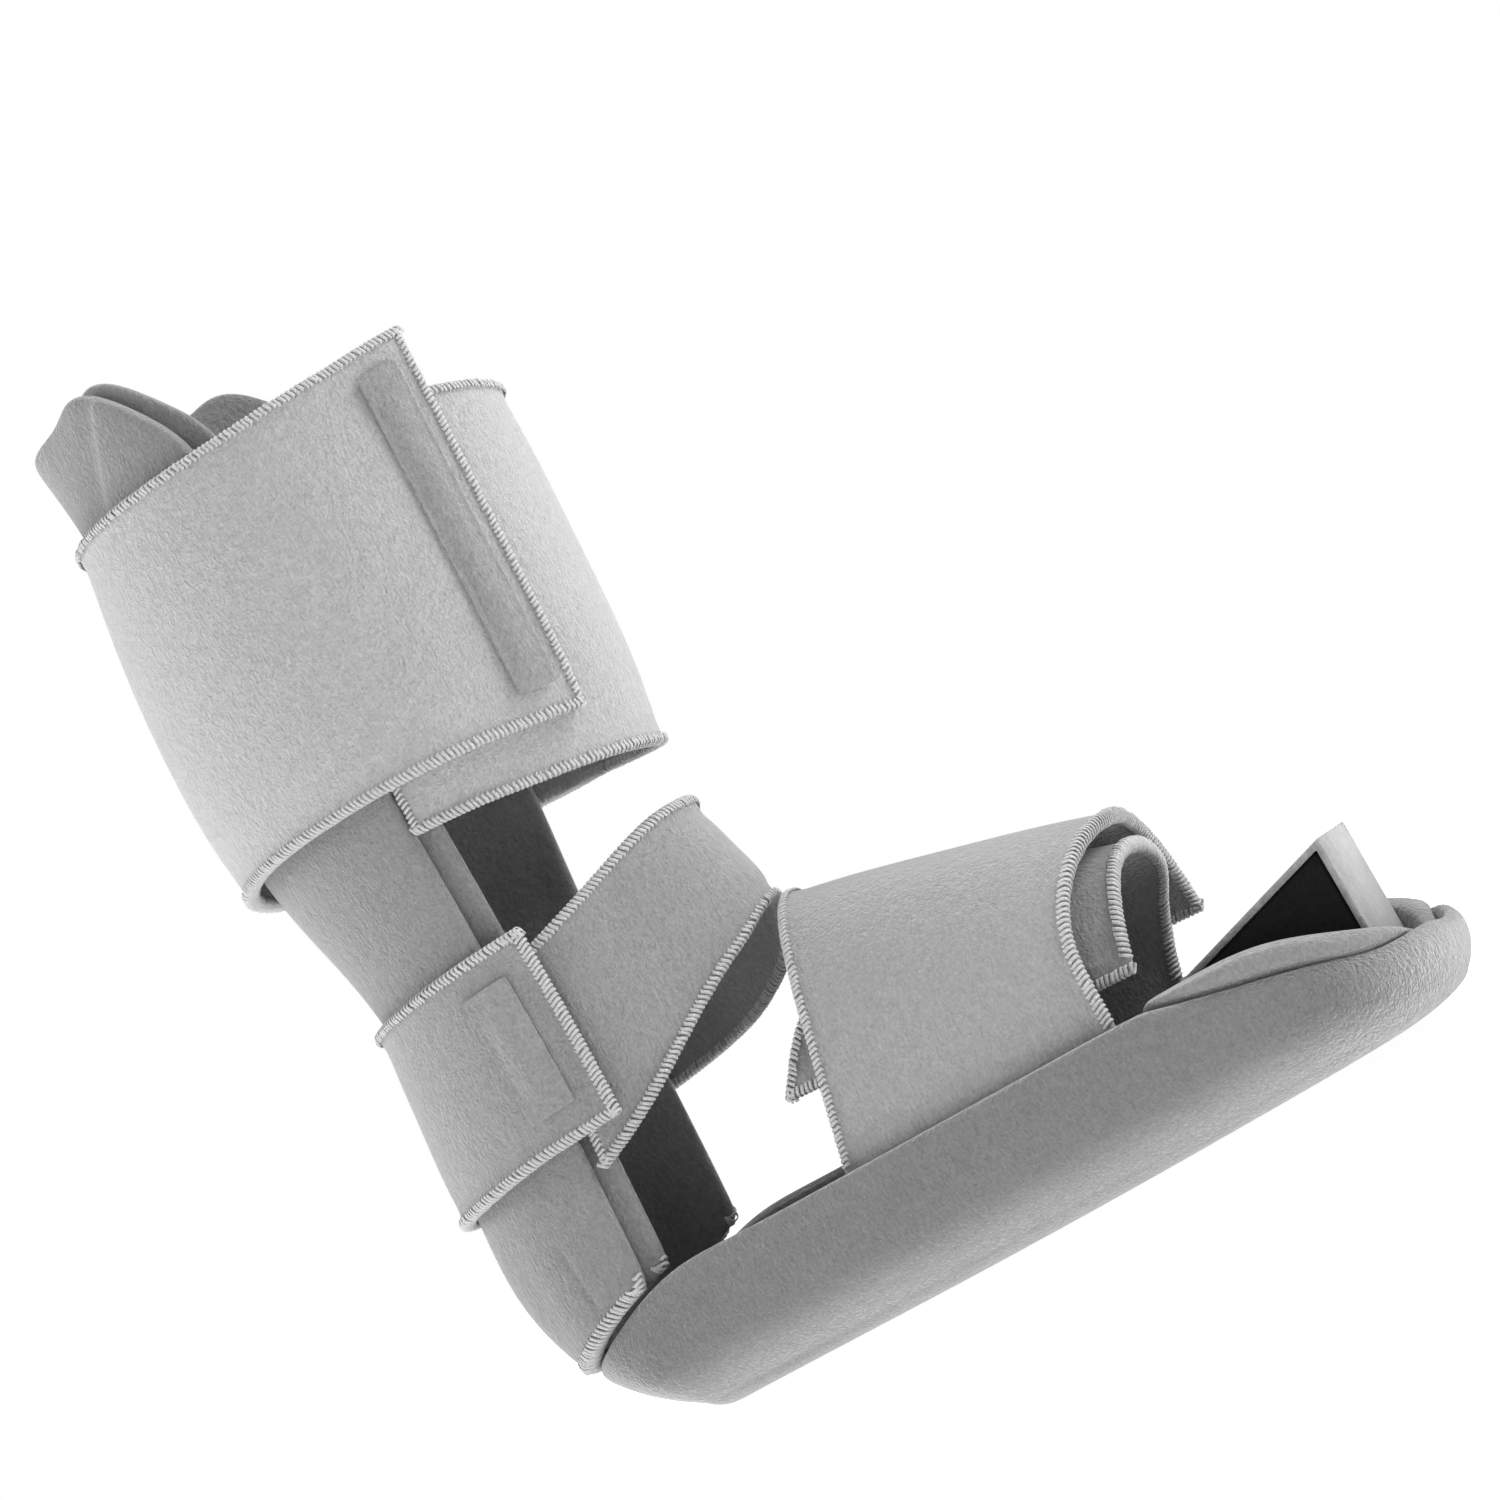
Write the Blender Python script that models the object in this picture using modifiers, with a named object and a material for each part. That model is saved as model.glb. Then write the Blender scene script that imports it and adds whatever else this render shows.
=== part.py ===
"""Night splint for plantar fasciitis: a padded foot bed, a padded half pipe behind the calf, and three straps.

Units are metres. +X points to the toes, +Y to the wearer's left, +Z up. The origin is on the flat sole, under
the axis of the leg. The leg and the foot are left out: each layer is laid on the form that they would have.
Angles go round the leg from +X towards +Y, so the front is 0, the back 180 and the wearer's right -90 or 270.
"""

import functools
import math

import bmesh
import bpy
import numpy as np

GAP = 0.0003
LAYER_GAP = 0.0007
SEAM_GAP = 0.0008

# Foam cloth
LINER_THICKNESS = 0.0045
SHELL_THICKNESS = 0.0065
WRAP_THICKNESS = 0.005
STRAP_THICKNESS = 0.0045
FLAP_THICKNESS = 0.0045
PATCH_THICKNESS = 0.0012
EDGE_ROUNDING = 0.0011

# Lifts over the bare leg of what lies on the liner's strip and on the shell
LINER_LIFT = LINER_THICKNESS + LAYER_GAP
SHELL_LIFT = LINER_LIFT + SHELL_THICKNESS + LAYER_GAP

# Leg form
LEG_HEIGHT = 0.365
LEG_DEPTH = 0.130
LEG_HALF_WIDTH = 0.045
SECTION_POWER = 2.2

# Shell behind the calf
SHELL_EDGE_X = 0.0
SHELL_EDGE_LEAN = 0.045
LINER_REACH = 0.0065
SHELL_TOP = 0.350
LINER_RISE = 0.0015
LINER_RISE_SPAN = (0.35, 0.70)

# Foot bed
HEEL_REACH = 0.0592
TOE_REACH = 0.2425
HEEL_CENTRE = -0.018
BED_HALF_WIDTH = 0.056
RIM_HEIGHT = 0.0445
HEEL_SLOPE = 1 / 3
HEEL_ROUND_HEIGHT = 0.060
HEEL_ROUND_SHARE = 0.78
HEEL_ROUND_POWER = 2.4
HEEL_LAYER_DROP = 0.45
HEEL_OUTLINE_POWER = 2.2
TOE_BOW_LENGTH = 0.060
TOE_OUTLINE_POWER = 2.7
TOE_SPRING = 0.0045
WALL_THICKNESS = 0.007
SOLE_THICKNESS = 0.009
PAD_THICKNESS = 0.0048
PAD_BELOW_RIM = 0.0012
PAD_FLARE = 0.0016
# The lip spreads over the cover's edge where it stands this much over it, and ends this far inside the outline
LIP_START = (0.0015, 0.0030)
LIP_INSET = 0.0012
RIM_ROUNDING = 0.0040
MIDDLE_ROW_SHARE = 0.42

# Calf wrap
CALF_WRAP_WIDTH = 0.120
CALF_WRAP_BOTTOM = 0.198
CALF_WRAP_FLARE = 0.0020
# Angles between which it leaves the liner's strip, climbs on to the shell, and comes down on itself
CALF_OFF_STRIP = (-80, -52)
CALF_ON_SHELL = (58, 85)
CALF_ON_ITSELF = (262, 284)

# Ankle strap
ANKLE_STRAP_WIDTH = 0.063
ANKLE_STRAP_BOTTOM = 0.081
ANKLE_STRAP_END_X = 0.013
ANKLE_OFF_STRIP = (-76, -55)
ANKLE_ON_SHELL = (50, 77)
ANKLE_ON_ITSELF = (262, 300)
ANKLE_END_DROP = 0.6

# Forefoot flaps
FLAP_BACK = 0.058
FLAP_FRONT = 0.1515
FLAP_TOP = 0.1234
FLAP_SLOPE = -0.273
FLAP_ROOT = 0.030
FLAP_LEAN = 0.0155
FLAP_FRONT_LEAN = 0.019
FLAP_POWER = 2.3
# Heights over RIM_HEIGHT at which the flaps start to curve over the foot and at which the outer one ends
FLAP_SPRING = 0.002
OUTER_FLAP_END = 0.012
# Shares of the outer flap's girth: where its back edge stops leaning, and where its front edge comes forward
OUTER_FLAP_LEAN_END = 0.943
OUTER_FLAP_TURN = (0.20, 0.58)
# Height of the inner flap's end at FLAP_BACK and its drop at FLAP_FRONT, and its space under the outer flap at both
INNER_FLAP_END = 0.066
INNER_FLAP_END_DROP = 0.015
INNER_FLAP_SPACES = (0.0005, 0.0050)

# Toe wedge
WEDGE_FRONT = 0.2225
WEDGE_HEIGHT = 0.0605
WEDGE_LENGTH = 0.100
WEDGE_HALF_WIDTH = 0.0285
WEDGE_SLOPE = math.radians(17)
COVER_THICKNESS = 0.002
EASING = 0.0008

# Fastener patches
CALF_PATCH_WIDTH = 0.0135
CALF_PATCH_INSET = 0.0075
CALF_PATCH_MARGIN = 0.0085
ANKLE_PATCH_WIDTH = 0.0150
ANKLE_PATCH_INSET = 0.0095
ANKLE_PATCH_MARGIN = 0.0105

# Height as a share of LEG_HEIGHT; back of the shell, centre and bare front as shares of LEG_DEPTH; bare half
# width as a share of LEG_HALF_WIDTH
LEG_SECTIONS = np.array([
    # height, back, centre, front, half width
    (0.060, -0.455, -0.138, 0.860, 0.733),
    (0.164, -0.455, -0.138, 0.846, 0.733),
    (0.222, -0.442, -0.108, 0.746, 0.733),
    (0.310, -0.415, -0.062, 0.545, 0.711),
    (0.330, -0.410, -0.053, 0.520, 0.713),
    (0.350, -0.406, -0.043, 0.512, 0.715),
    (0.400, -0.406, -0.023, 0.466, 0.733),
    (0.460, -0.440, 0.000, 0.442, 0.800),
    (0.515, -0.488, 0.008, 0.456, 0.878),
    (0.548, -0.505, 0.015, 0.469, 0.911),
    (0.712, -0.520, 0.023, 0.500, 0.978),
    (0.888, -0.472, 0.023, 0.527, 1.000),
    (1.020, -0.540, 0.031, 0.538, 1.022),
])

# Height of the shell's top edge as a share of SHELL_TOP, by the share of the way from the back to the front edge
SHELL_TOPS = np.array([
    # around, height
    (0.00, 0.992),
    (0.30, 0.995),
    (0.55, 0.998),
    (0.76, 1.003),
    (0.88, 0.968),
    (1.00, 0.915),
])

# Soft folds pressed into the shell: quarter turns from the back towards the wearer's right, height as a share of
# LEG_HEIGHT, half width in quarter turns, half height as a share of LEG_HEIGHT, and depth as a share of
# SHELL_THICKNESS
SHELL_FOLDS = np.array([
    # around, height, half width, half height, depth
    (0.55, 0.985, 0.10, 0.100, 0.40),
    (0.28, 0.965, 0.15, 0.040, -0.20),
    (0.60, 0.160, 0.09, 0.045, 0.30),
])

# Bottom and top rim of the calf wrap over CALF_WRAP_BOTTOM, as shares of CALF_WRAP_WIDTH
CALF_WRAP_RIMS = np.array([
    # angle, bottom, top
    (-91, -0.079, 0.920),
    (-45, -0.120, 0.880),
    (0, -0.145, 0.850),
    (90, -0.083, 0.910),
    (180, -0.010, 0.985),
    (230, 0.035, 0.985),
    (270, 0.037, 0.980),
    (327, -0.004, 1.025),
])

# Bottom and top rim of the ankle strap over ANKLE_STRAP_BOTTOM, as shares of ANKLE_STRAP_WIDTH
ANKLE_STRAP_RIMS = np.array([
    # angle, bottom, top
    (-85, -0.06, 0.98),
    (-58, 0.33, 1.14),
    (-43, 0.46, 1.21),
    (-28, 0.55, 1.26),
    (-12, 0.63, 1.28),
    (12, 0.63, 1.28),
    (30, 0.48, 1.25),
    (60, 0.26, 1.17),
    (90, 0.12, 1.10),
    (135, 0.03, 1.04),
    (180, 0.00, 1.02),
    (225, 0.04, 1.05),
    (262, 0.10, 1.09),
    (284, 0.14, 1.11),
])

# Back edge of the inner flap off FLAP_BACK as a share of FLAP_LEAN, and its front edge off FLAP_FRONT as a share of
# FLAP_FRONT_LEAN, by the share of its girth
INNER_FLAP_EDGES = np.array([
    # around, back, front
    (0.00, -0.11, 0.05),
    (0.15, 0.42, 0.29),
    (0.25, 0.75, 0.59),
    (0.35, 1.05, 0.95),
    (0.50, 1.54, 1.05),
    (0.65, 1.74, 1.00),
    (0.80, 1.55, 0.84),
    (0.90, 0.51, 0.69),
    (1.00, -0.26, 0.53),
])

# Half width of the foot bed as a share of BED_HALF_WIDTH, by the share of the way from HEEL_CENTRE to the toe bow
BED_WIDTHS = np.array([(0.0, 0.790), (0.2, 0.845), (0.4, 0.915), (0.6, 0.965), (0.8, 0.998), (1.0, 0.990)])

# Height of the outer cover and of the pad in the toe bow, as a share of RIM_HEIGHT, by the share of the way from
# the flap's front edge to the tip
TOE_RIMS = np.array([
    # along, cover, pad
    (0.00, 1.000, 1.010),
    (0.15, 0.975, 1.030),
    (0.30, 0.885, 1.030),
    (0.47, 0.815, 1.025),
    (0.64, 0.725, 0.925),
    (0.79, 0.600, 0.795),
    (0.88, 0.560, 0.715),
    (0.95, 0.590, 0.610),
    (1.00, 0.500, 0.465),
])

# Outer side of the foot bed's cover from the sole up: inset from the outline, and height as a fixed part and a
# share of the local rim height
COVER_PROFILE = np.array([
    # inset, height, rim share
    (0.0200, 0.0000, 0.00),
    (0.0115, 0.0000, 0.04),
    (0.0058, 0.0000, 0.12),
    (0.0020, 0.0000, 0.26),
    (0.0000, 0.0000, 0.50),
    (0.0000, 0.0000, 0.78),
    (0.0008, -0.0022, 1.00),
    (0.0030, 0.0000, 1.00),
    (0.0054, -0.0012, 1.00),
])

# Lower inner corner of the cover, and the same corner of the pad: inset from the wall and height over the sole
BED_CORNER = np.array([
    # inset, height
    (0.0050, 0.0000),
    (0.0012, 0.0020),
])

# Rounded outer side of the pad's lip, from the cover's edge up: inset, share of the spread over the cover, share
# of the lip's height, and a fixed height
LIP_PROFILE = np.array([
    # inset, spread, up, height
    (0.0000, 1.0, 0.6, 0.0000),
    (0.0008, 0.7, 1.0, -0.0006),
    (0.0020, 0.3, 1.0, 0.0000),
])

# Inner side of the pad's rim: inset from the pad's inner face and drop from its top
PAD_RIM_PROFILE = np.array([
    # inset, drop
    (-0.0010, 0.0004),
    (0.0000, 0.0035),
])

# Where the foot bed's pad drops to the roots of the flaps and rises again
PAD_DIP = (FLAP_BACK - 0.010, FLAP_BACK - 0.004, FLAP_FRONT + 0.004, FLAP_FRONT + 0.010)

TURN = 360
BED_STEPS = 28


def smooth(table, at, column=1):
    """The value of a column at a place in the table's first column, along a smooth curve through its rows."""
    places = table[:, 0]
    values = table[:, column]
    slopes = np.gradient(values, places)
    at = min(max(at, places[0]), places[-1])
    row = min(int(np.searchsorted(places, at, side="right")) - 1, len(places) - 2)
    step = places[row + 1] - places[row]
    t = (at - places[row]) / step
    return float(
        values[row] * (1 + 2 * t) * (1 - t) ** 2
        + values[row + 1] * t * t * (3 - 2 * t)
        + slopes[row] * step * t * (1 - t) ** 2
        - slopes[row + 1] * step * t * t * (1 - t)
    )


def ease(at, start, end):
    """0 before start, 1 after end, and a smooth step between."""
    t = min(max((at - start) / (end - start), 0.0), 1.0)
    return t * t * (3 - 2 * t)


def heel_scale(height):
    """How far the heel's back comes forward at this height, as a factor on x."""
    share = min(max(height / HEEL_ROUND_HEIGHT, 0.0), 1.0)
    return 1 - HEEL_ROUND_SHARE * (1 - share) ** HEEL_ROUND_POWER


@functools.lru_cache(maxsize=None)
def leg_section(height):
    """Back, centre, front and half width of the bare leg form at this height."""
    share = height / LEG_HEIGHT
    back = smooth(LEG_SECTIONS, share, 1) * LEG_DEPTH + SHELL_LIFT - LAYER_GAP
    centre = smooth(LEG_SECTIONS, share, 2) * LEG_DEPTH
    front = smooth(LEG_SECTIONS, share, 3) * LEG_DEPTH
    return back, centre, front, smooth(LEG_SECTIONS, share, 4) * LEG_HALF_WIDTH


def leg_curve(angle, height):
    """The point of the bare leg's outline at this angle."""
    back, centre, front, half = leg_section(height)
    c = math.cos(math.radians(angle))
    s = math.sin(math.radians(angle))
    power = 2 / SECTION_POWER
    reach = front - centre if c > 0 else centre - back
    return np.array([centre + math.copysign(abs(c) ** power, c) * reach, math.copysign(abs(s) ** power, s) * half])


def leg_point(angle, height, lift):
    """The point at this angle and height, lifted off the bare leg level with the floor."""
    step = 0.6
    along = leg_curve(angle + step, height) - leg_curve(angle - step, height)
    normal = np.array([along[1], -along[0]]) / np.linalg.norm(along)
    x, y = leg_curve(angle, height) + normal * lift
    outer_x = (leg_curve(angle, height) + normal * SHELL_LIFT)[0]
    if outer_x < 0:
        inside = max(SHELL_LIFT - lift, 0.0)
        x -= outer_x * (1 - heel_scale(height - HEEL_LAYER_DROP * inside))
    return (x, y, height)


def angle_at(x, height, lift):
    """The angle on the far side at which a layer of this lift has this x."""
    low, high = 5.0, 175.0
    for _ in range(24):
        middle = (low + high) / 2
        if leg_point(middle, height, lift)[0] > x:
            low = middle
        else:
            high = middle
    return (low + high) / 2


def bed_half_width(x):
    """Half width of the foot bed's outline at this x."""
    bow_start = TOE_REACH - TOE_BOW_LENGTH
    if x <= HEEL_CENTRE:
        share = min((HEEL_CENTRE - x) / (HEEL_REACH + HEEL_CENTRE), 1.0)
        return BED_HALF_WIDTH * BED_WIDTHS[0, 1] * (1 - share**HEEL_OUTLINE_POWER) ** (1 / HEEL_OUTLINE_POWER)
    along = (x - HEEL_CENTRE) / (bow_start - HEEL_CENTRE)
    width = BED_HALF_WIDTH * smooth(BED_WIDTHS, along)
    bow = min(max((x - bow_start) / TOE_BOW_LENGTH, 0.0), 1.0)
    return width * (1 - bow**TOE_OUTLINE_POWER) ** (1 / TOE_OUTLINE_POWER)


def bed_outline():
    """Points and outward normals round the foot bed's outline: equal steps, and the ends of the pad's low part."""
    turn = np.linspace(0, np.pi, 721)
    middle = (TOE_REACH - HEEL_REACH) / 2
    x = middle + np.cos(turn) * (TOE_REACH + HEEL_REACH) / 2
    half = np.array([bed_half_width(value) for value in x])
    length = np.concatenate([[0], np.cumsum(np.hypot(np.diff(x), np.diff(half)))])
    marks = np.interp([-mark for mark in PAD_DIP], -x, length)
    at = np.sort(np.concatenate([np.linspace(0, length[-1], BED_STEPS + 1), marks]))
    far = np.stack([np.interp(at, length, x), np.interp(at, length, half)], 1)
    near = far[-2:0:-1] * (1, -1)
    points = np.concatenate([far, near])
    along = np.roll(points, -1, 0) - np.roll(points, 1, 0)
    along /= np.linalg.norm(along, axis=1)[:, None]
    return points, np.stack([along[:, 1], -along[:, 0]], 1)


def hem_height(x):
    """Height of the seam between the foot bed and the shell at this x of the foot bed's outline."""
    return RIM_HEIGHT + min(x - SHELL_EDGE_X, 0.0) * HEEL_SLOPE


def cover_rim(x):
    """Height of the outer cover's edge."""
    along = (x - FLAP_FRONT) / (TOE_REACH - FLAP_FRONT)
    return hem_height(x) * smooth(TOE_RIMS, along, 1)


def pad_rim(x):
    """Height of the inner pad's edge: low under the roots of the flaps, and a lip over the cover at the toes."""
    along = (x - FLAP_FRONT) / (TOE_REACH - FLAP_FRONT)
    under_flaps = ease(x, PAD_DIP[0], PAD_DIP[1]) - ease(x, PAD_DIP[2], PAD_DIP[3])
    lip = RIM_HEIGHT * smooth(TOE_RIMS, along, 2) if x > FLAP_FRONT else hem_height(x) - PAD_BELOW_RIM
    return lip + under_flaps * (FLAP_ROOT - 2 * GAP - lip)


def toe_lift(x, height):
    """How far the foot bed rises towards the toes, most at the sole and none at the rim."""
    along = min(max((x - FLAP_BACK) / (TOE_REACH - FLAP_BACK), 0.0), 1.0)
    return TOE_SPRING * along**2 * max(1 - height / RIM_HEIGHT, 0.0)


def collection(name):
    made = bpy.data.collections.new(name)
    bpy.context.scene.collection.children.link(made)
    return made


def material(name, color, roughness):
    made = bpy.data.materials.new(name)
    made.use_nodes = True
    made.diffuse_color = (*color, 1)
    shader = made.node_tree.nodes["Principled BSDF"]
    shader.inputs["Base Color"].default_value = (*color, 1)
    shader.inputs["Roughness"].default_value = roughness
    shader.inputs["Metallic"].default_value = 0
    return made


def add_object(name, form, color, roughness=0.95):
    """Turns a bmesh into a named object with its own material."""
    mesh = bpy.data.meshes.new(name)
    form.to_mesh(mesh)
    form.free()
    mesh.shade_smooth()
    mesh.set_sharp_from_angle(angle=math.radians(50))
    mesh.materials.append(material(name, color, roughness))
    made = bpy.data.objects.new(name, mesh)
    SPLINT.objects.link(made)
    return made


def padded_sheet(name, columns, rows, place, thickness, color, side=1):
    """A grid laid out by place(around, up), both from 0 to 1, thickened to its outer (1) or inner (-1) side."""
    form = bmesh.new()
    bmesh.ops.create_grid(form, x_segments=columns, y_segments=rows, size=0.5)
    for vertex in form.verts:
        vertex.co = place(vertex.co.x + 0.5, vertex.co.y + 0.5)
    sheet = add_object(name, form, color)
    solidify = sheet.modifiers.new("Thickness", "SOLIDIFY")
    solidify.thickness = thickness
    solidify.offset = side
    solidify.use_even_offset = True
    bevel = sheet.modifiers.new("Eased rims", "BEVEL")
    bevel.width = min(EDGE_ROUNDING, thickness * 0.3)
    bevel.segments = 1
    bevel.limit_method = "ANGLE"
    bevel.angle_limit = math.radians(60)
    return sheet


def shell_inset(angle, height):
    """Depth of the folds pressed into the shell at this angle and height."""
    around = (angle - TURN / 2) / (TURN / 4)
    total = 0.0
    for place, level, half_width, half_height, depth in SHELL_FOLDS:
        across = (around - place) / half_width
        along = (height / LEG_HEIGHT - level) / half_height
        total += depth * SHELL_THICKNESS * math.exp(-across * across - along * along)
    return total


def back_sheet(name, columns, rows, lift, thickness, edge_x, top, color):
    """A padded sheet behind the leg, between its two front edges, standing on the seam with the foot bed."""

    def place(around, up):
        off_back = abs(2 * around - 1)
        height = RIM_HEIGHT
        for _ in range(6):
            edge = angle_at(edge_x + SHELL_EDGE_LEAN * min(height - CALF_WRAP_BOTTOM, 0.0), height, lift)
            angle = edge + (TURN - 2 * edge) * around
            x = leg_point(angle, height, lift + thickness)[0]
            seam = hem_height(x / heel_scale(height) if x < 0 else x) + SEAM_GAP
            height = seam + (top(off_back) - seam) * up
        return leg_point(angle, height, lift + thickness - shell_inset(angle, height))

    return padded_sheet(name, columns, rows, place, thickness, color, side=-1)


def shell_top(off_back):
    """Height of the shell's top edge, from the back (0) to a front edge (1)."""
    return SHELL_TOP * smooth(SHELL_TOPS, off_back)


def liner_top(off_back):
    """Height of the liner's top edge, which stands above the shell's beside its front edges."""
    return shell_top(off_back) + LINER_RISE * ease(off_back, *LINER_RISE_SPAN)


def make_shell():
    back_sheet("leg_shell", 26, 14, LINER_LIFT, SHELL_THICKNESS, SHELL_EDGE_X, shell_top, GREY)


def make_leg_liner():
    back_sheet("leg_liner", 26, 14, 0.0, LINER_THICKNESS, SHELL_EDGE_X + LINER_REACH, liner_top, DARK_GREY)


def calf_wrap_lift(angle, layer_angle):
    """Lift of the calf wrap off the bare leg: on the liner's strip, the leg, the shell, and then on itself."""
    on_start = LINER_LIFT - (LINER_LIFT - GAP) * ease(layer_angle, *CALF_OFF_STRIP)
    if angle > TURN / 2:
        on_start += WRAP_THICKNESS + GAP
        return SHELL_LIFT + (on_start - SHELL_LIFT) * ease(angle, *CALF_ON_ITSELF)
    return on_start + (SHELL_LIFT - GAP) * ease(angle, *CALF_ON_SHELL)


def calf_wrap_point(angle, up, extra=0.0):
    """A point on the underside of the calf wrap, which stands off the shell at its lower back rim."""
    bottom = smooth(CALF_WRAP_RIMS, angle, 1)
    top = smooth(CALF_WRAP_RIMS, angle, 2)
    layer_angle = angle if angle < TURN / 2 else angle - TURN
    flare = CALF_WRAP_FLARE * (1 - up) ** 1.5 * ease(angle, 90, 170) * (1 - ease(angle, 190, 265))
    lift = calf_wrap_lift(angle, layer_angle) + flare + extra
    return leg_point(angle, CALF_WRAP_BOTTOM + (bottom + (top - bottom) * up) * CALF_WRAP_WIDTH, lift)


def make_calf_wrap():
    start, end = CALF_WRAP_RIMS[0, 0], CALF_WRAP_RIMS[-1, 0]
    padded_sheet("calf_wrap", 52, 5, lambda around, up: calf_wrap_point(start + (end - start) * around, up),
                 WRAP_THICKNESS, GREY)


def make_calf_patch():
    """The sewn strip beside the calf wrap's outer end."""
    per_length = math.degrees(1 / (LEG_DEPTH / 2))
    end = CALF_WRAP_RIMS[-1, 0] - CALF_PATCH_INSET * per_length
    start = end - CALF_PATCH_WIDTH * per_length
    margin = CALF_PATCH_MARGIN / CALF_WRAP_WIDTH
    padded_sheet("calf_hook_patch", 3, 8,
                 lambda around, up: calf_wrap_point(start + (end - start) * around, margin + (1 - 2 * margin) * up,
                                                    WRAP_THICKNESS + GAP),
                 PATCH_THICKNESS, GREY)


def ankle_strap_lift(angle):
    """Lift of the ankle strap off the bare leg: on the liner's strip, the instep, the shell, and then on itself."""
    if angle > TURN / 2:
        on_itself = LINER_LIFT + STRAP_THICKNESS + GAP
        return SHELL_LIFT + (on_itself - SHELL_LIFT) * ease(angle, *ANKLE_ON_ITSELF) * ANKLE_END_DROP
    on_start = LINER_LIFT - (LINER_LIFT - GAP) * ease(angle, *ANKLE_OFF_STRIP)
    return on_start + (SHELL_LIFT - GAP) * ease(angle, *ANKLE_ON_SHELL)


def ankle_strap_point(share, up, extra=0.0):
    """A point on the underside of the ankle strap, by the share of the way from its inner to its outer end."""
    start, end = ANKLE_STRAP_RIMS[0, 0], ANKLE_STRAP_RIMS[-1, 0]
    table_angle = start + (end - start) * share
    bottom = smooth(ANKLE_STRAP_RIMS, table_angle, 1)
    top = smooth(ANKLE_STRAP_RIMS, table_angle, 2)
    height = ANKLE_STRAP_BOTTOM + (bottom + (top - bottom) * up) * ANKLE_STRAP_WIDTH
    last = TURN - angle_at(ANKLE_STRAP_END_X, height, SHELL_LIFT)
    angle = start + (last - start) * share
    return leg_point(angle, height, ankle_strap_lift(angle) + extra)


def make_ankle_strap():
    padded_sheet("ankle_strap", 50, 4, ankle_strap_point, STRAP_THICKNESS, GREY)


def ankle_share_at(x, up):
    """The share of the ankle strap at which its outer end has this x."""
    low, high = 0.8, 1.0
    for _ in range(24):
        middle = (low + high) / 2
        if ankle_strap_point(middle, up)[0] < x:
            low = middle
        else:
            high = middle
    return (low + high) / 2


def make_ankle_patch():
    """The sewn patch beside the ankle strap's outer end."""
    margin = ANKLE_PATCH_MARGIN / ANKLE_STRAP_WIDTH

    def place(around, up):
        height = margin + (1 - 2 * margin) * up
        x = ANKLE_STRAP_END_X - ANKLE_PATCH_INSET - ANKLE_PATCH_WIDTH * (1 - around)
        return ankle_strap_point(ankle_share_at(x, height), height, STRAP_THICKNESS + GAP)

    padded_sheet("ankle_hook_patch", 3, 4, place, PATCH_THICKNESS, GREY)


def ring_body(name, section, color):
    """A closed pad: section(x) gives its rows of inset and height, which go round the foot bed's outline."""
    points, normals = bed_outline()
    count = len(points)
    form = bmesh.new()
    rings = []
    for point, normal in zip(points, normals):
        for row, (inset, z) in enumerate(section(point[0])):
            if row == len(rings):
                rings.append([])
            x, y = point - normal * inset
            z += toe_lift(x, z)
            if x < 0:
                x *= heel_scale(z)
            rings[row].append(form.verts.new((x, y, z)))
    for lower, upper in zip(rings, rings[1:]):
        for i in range(count):
            j = (i + 1) % count
            form.faces.new((lower[i], lower[j], upper[j], upper[i]))
    for i in range(count // 2):
        ladder = [i, i + 1, count - i - 1, (count - i) % count]
        ladder = list(dict.fromkeys(ladder))
        form.faces.new([rings[0][k] for k in reversed(ladder)])
        form.faces.new([rings[-1][k] for k in ladder])
    return add_object(name, form, color)


def middle_row(rim):
    """Height at which the cover's wall and the pad inside it both have a row of points."""
    return SOLE_THICKNESS / 2 + MIDDLE_ROW_SHARE * rim


def make_trough():
    """The outer cover with its sole: a wall of even thickness round a flat bed."""
    wall = WALL_THICKNESS

    def section(x):
        rim = cover_rim(x)
        rows = [(inset, height + share * rim) for inset, height, share in COVER_PROFILE]
        rows.append((wall, rim - RIM_ROUNDING))
        rows.append((wall, middle_row(rim)))
        rows += [(wall + inset, SOLE_THICKNESS + height) for inset, height in reversed(BED_CORNER)]
        return rows

    ring_body("foot_trough", section, GREY)


def make_foot_liner():
    """The pad inside the cover, whose lip stands over the cover's edge at the toes."""
    outer = WALL_THICKNESS + LAYER_GAP
    inner = outer + PAD_THICKNESS
    floor = SOLE_THICKNESS + GAP

    def section(x):
        top = pad_rim(x)
        cover = cover_rim(x)
        over = ease(top - cover, *LIP_START)
        spread = (outer - LIP_INSET) * over
        shelf = min(cover + GAP, top - LIP_START[0])
        return (
            *[(outer + inset, floor + height) for inset, height in BED_CORNER],
            (outer, middle_row(cover)),
            (outer, shelf - 2 * GAP),
            (outer - spread, shelf + 3 * GAP * over),
            *[(outer - out * spread + inset, shelf + up * (top - shelf) + height)
              for inset, out, up, height in LIP_PROFILE],
            *[(inner + inset, top - drop) for inset, drop in PAD_RIM_PROFILE],
            (inner + PAD_FLARE, floor + PAD_THICKNESS),
        )

    ring_body("foot_liner", section, DARK_GREY)


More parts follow.
